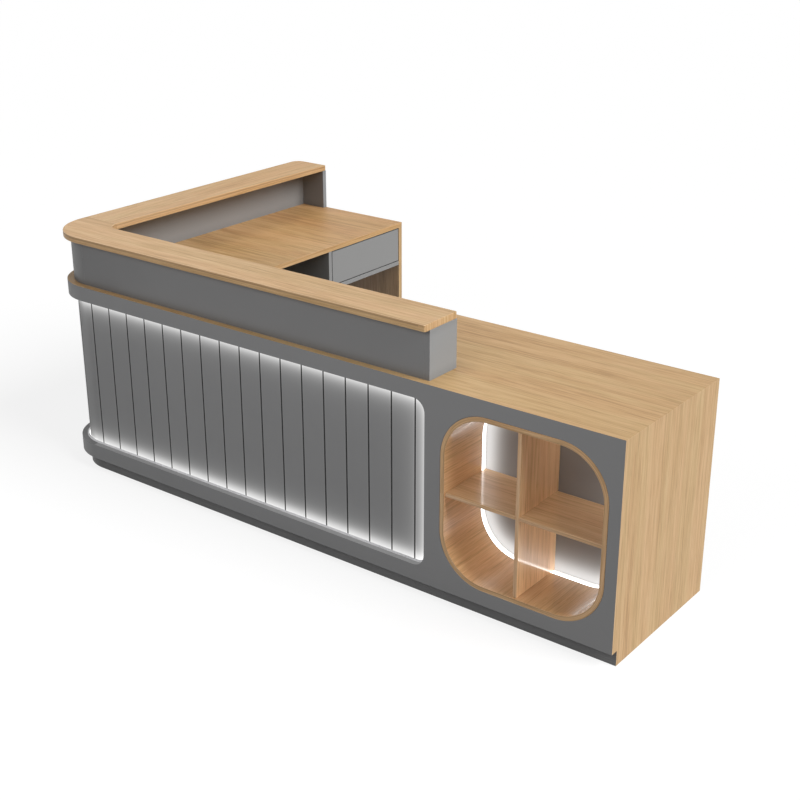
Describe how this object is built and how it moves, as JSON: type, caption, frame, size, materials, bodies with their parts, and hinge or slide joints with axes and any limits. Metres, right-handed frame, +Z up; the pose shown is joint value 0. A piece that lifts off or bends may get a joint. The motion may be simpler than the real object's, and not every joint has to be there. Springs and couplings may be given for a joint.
{
  "type": "reception desk",
  "caption": "L-shaped reception desk with a raised oak counter, lit planked front, rounded display niche, push-open drawer and a staff-side cupboard with hinged doors",
  "frame": {"origin": "on the floor, at the middle of the whole desk's length and depth", "axes": "+X along the long visitor side, away from the rounded corner; +Y from the visitor side to the staff side, along the wing; +Z up"},
  "size_m": [2.5, 1.45, 0.95],
  "materials": {
    "oak": "satin oiled oak veneer",
    "grey_lacquer": "satin lacquered board",
    "plank_lacquer": "satin lacquered grooved board",
    "plinth_grey": "matte faced board",
    "inner_board": "satin faced board",
    "drawer_white": "satin foiled board",
    "softwood": "sawn softwood",
    "aluminium_profile": "anodised",
    "light_strip": "flexible light strip",
    "opal_cover": "opal diffusing",
    "zinc_steel": "zinc plated",
    "black_plastic": "fine texture",
    "grey_plastic": "fine texture",
    "white_plastic": "fine texture"
  },
  "bodies": {
    "desk": {"worktop_front": "oak", "worktop_wing": "oak", "end_panel_right": "oak", "end_panel_wing": "oak", "counter_front": "oak", "counter_wing": "oak", "front_fascia": "grey_lacquer", "wing_fascia": "grey_lacquer", "corner_bands": "grey_lacquer", "riser_front": "grey_lacquer", "riser_corner": "grey_lacquer", "riser_wing": "grey_lacquer", "riser_ends": "grey_lacquer", "riser_dividers": "inner_board", "plinth_front": "plinth_grey", "plinth_corner": "plinth_grey", "plinth_wing": "plinth_grey", "planks_front": "plank_lacquer", "planks_corner": "plank_lacquer", "planks_wing": "plank_lacquer", "wall_battens": "softwood", "modesty_front": "inner_board", "modesty_corner": "inner_board", "modesty_wing": "inner_board", "gable_corner": "inner_board", "gable_niche": "inner_board", "gable_drawer": "inner_board", "niche_liner": "oak", "niche_divider": "oak", "niche_shelf": "oak", "niche_back": "inner_board", "led_channels": "aluminium_profile", "led_strips": "light_strip", "led_diffusers": "opal_cover", "led_driver": "white_plastic", "power_module": "black_plastic", "cable_ports": "grey_plastic", "cupboard_floor": "inner_board", "cupboard_shelf": "inner_board", "cupboard_kick": "plinth_grey", "hinge_leaves_fixed": "zinc_steel", "drawer_deck": "inner_board", "slide_cabinet_members": "zinc_steel", "latch_housings": "white_plastic", "worktop_brackets": "zinc_steel", "fixing_screws": "zinc_steel"},
    "drawer": {"drawer_front": "inner_board", "drawer_box": "drawer_white", "drawer_bottom": "drawer_white", "slide_drawer_members": "zinc_steel"},
    "slide_middle": {"slide_middle_members": "zinc_steel"},
    "left_door": {"door_left": "inner_board", "hinge_leaves_left": "zinc_steel"},
    "right_door": {"door_right": "inner_board", "hinge_leaves_right": "zinc_steel"},
    "rocker": {"light_rocker": "black_plastic"},
    "left_plunger": {"plunger_left": "white_plastic"},
    "right_plunger": {"plunger_right": "white_plastic"},
    "drawer_plunger": {"plunger_drawer": "white_plastic"}
  },
  "joints": [
    {"name": "drawer_slide", "type": "slide", "parent": "desk", "child": "drawer", "axis": [1, 0, 0], "range_m": [0, 0.4]},
    {"name": "middle_slide", "type": "slide", "parent": "desk", "child": "slide_middle", "axis": [1, 0, 0], "range_m": [0, 0.2]},
    {"name": "left_door_hinge", "type": "hinge", "parent": "desk", "child": "left_door", "pos_m": [0.5952, -0.1267, 0.395], "axis": [0, 0, 1], "range_deg": [0, 105]},
    {"name": "right_door_hinge", "type": "hinge", "parent": "desk", "child": "right_door", "pos_m": [1.2278, -0.1267, 0.395], "axis": [0, 0, -1], "range_deg": [0, 105]},
    {"name": "light_switch", "type": "hinge", "parent": "desk", "child": "rocker", "pos_m": [-0.659, -0.32, 0.661], "axis": [0, 1, 0], "range_deg": [0, 12]},
    {"name": "left_latch_press", "type": "slide", "parent": "desk", "child": "left_plunger", "axis": [0, -1, 0], "range_m": [0, 0.004], "stiffness_N_per_m": 400},
    {"name": "right_latch_press", "type": "slide", "parent": "desk", "child": "right_plunger", "axis": [0, -1, 0], "range_m": [0, 0.004], "stiffness_N_per_m": 400},
    {"name": "drawer_latch_press", "type": "slide", "parent": "desk", "child": "drawer_plunger", "axis": [-1, 0, 0], "range_m": [0, 0.004], "stiffness_N_per_m": 400}
  ],
  "couplings": [
    {"joint": "middle_slide", "follows": "drawer_slide", "ratio": 0.5}
  ]
}
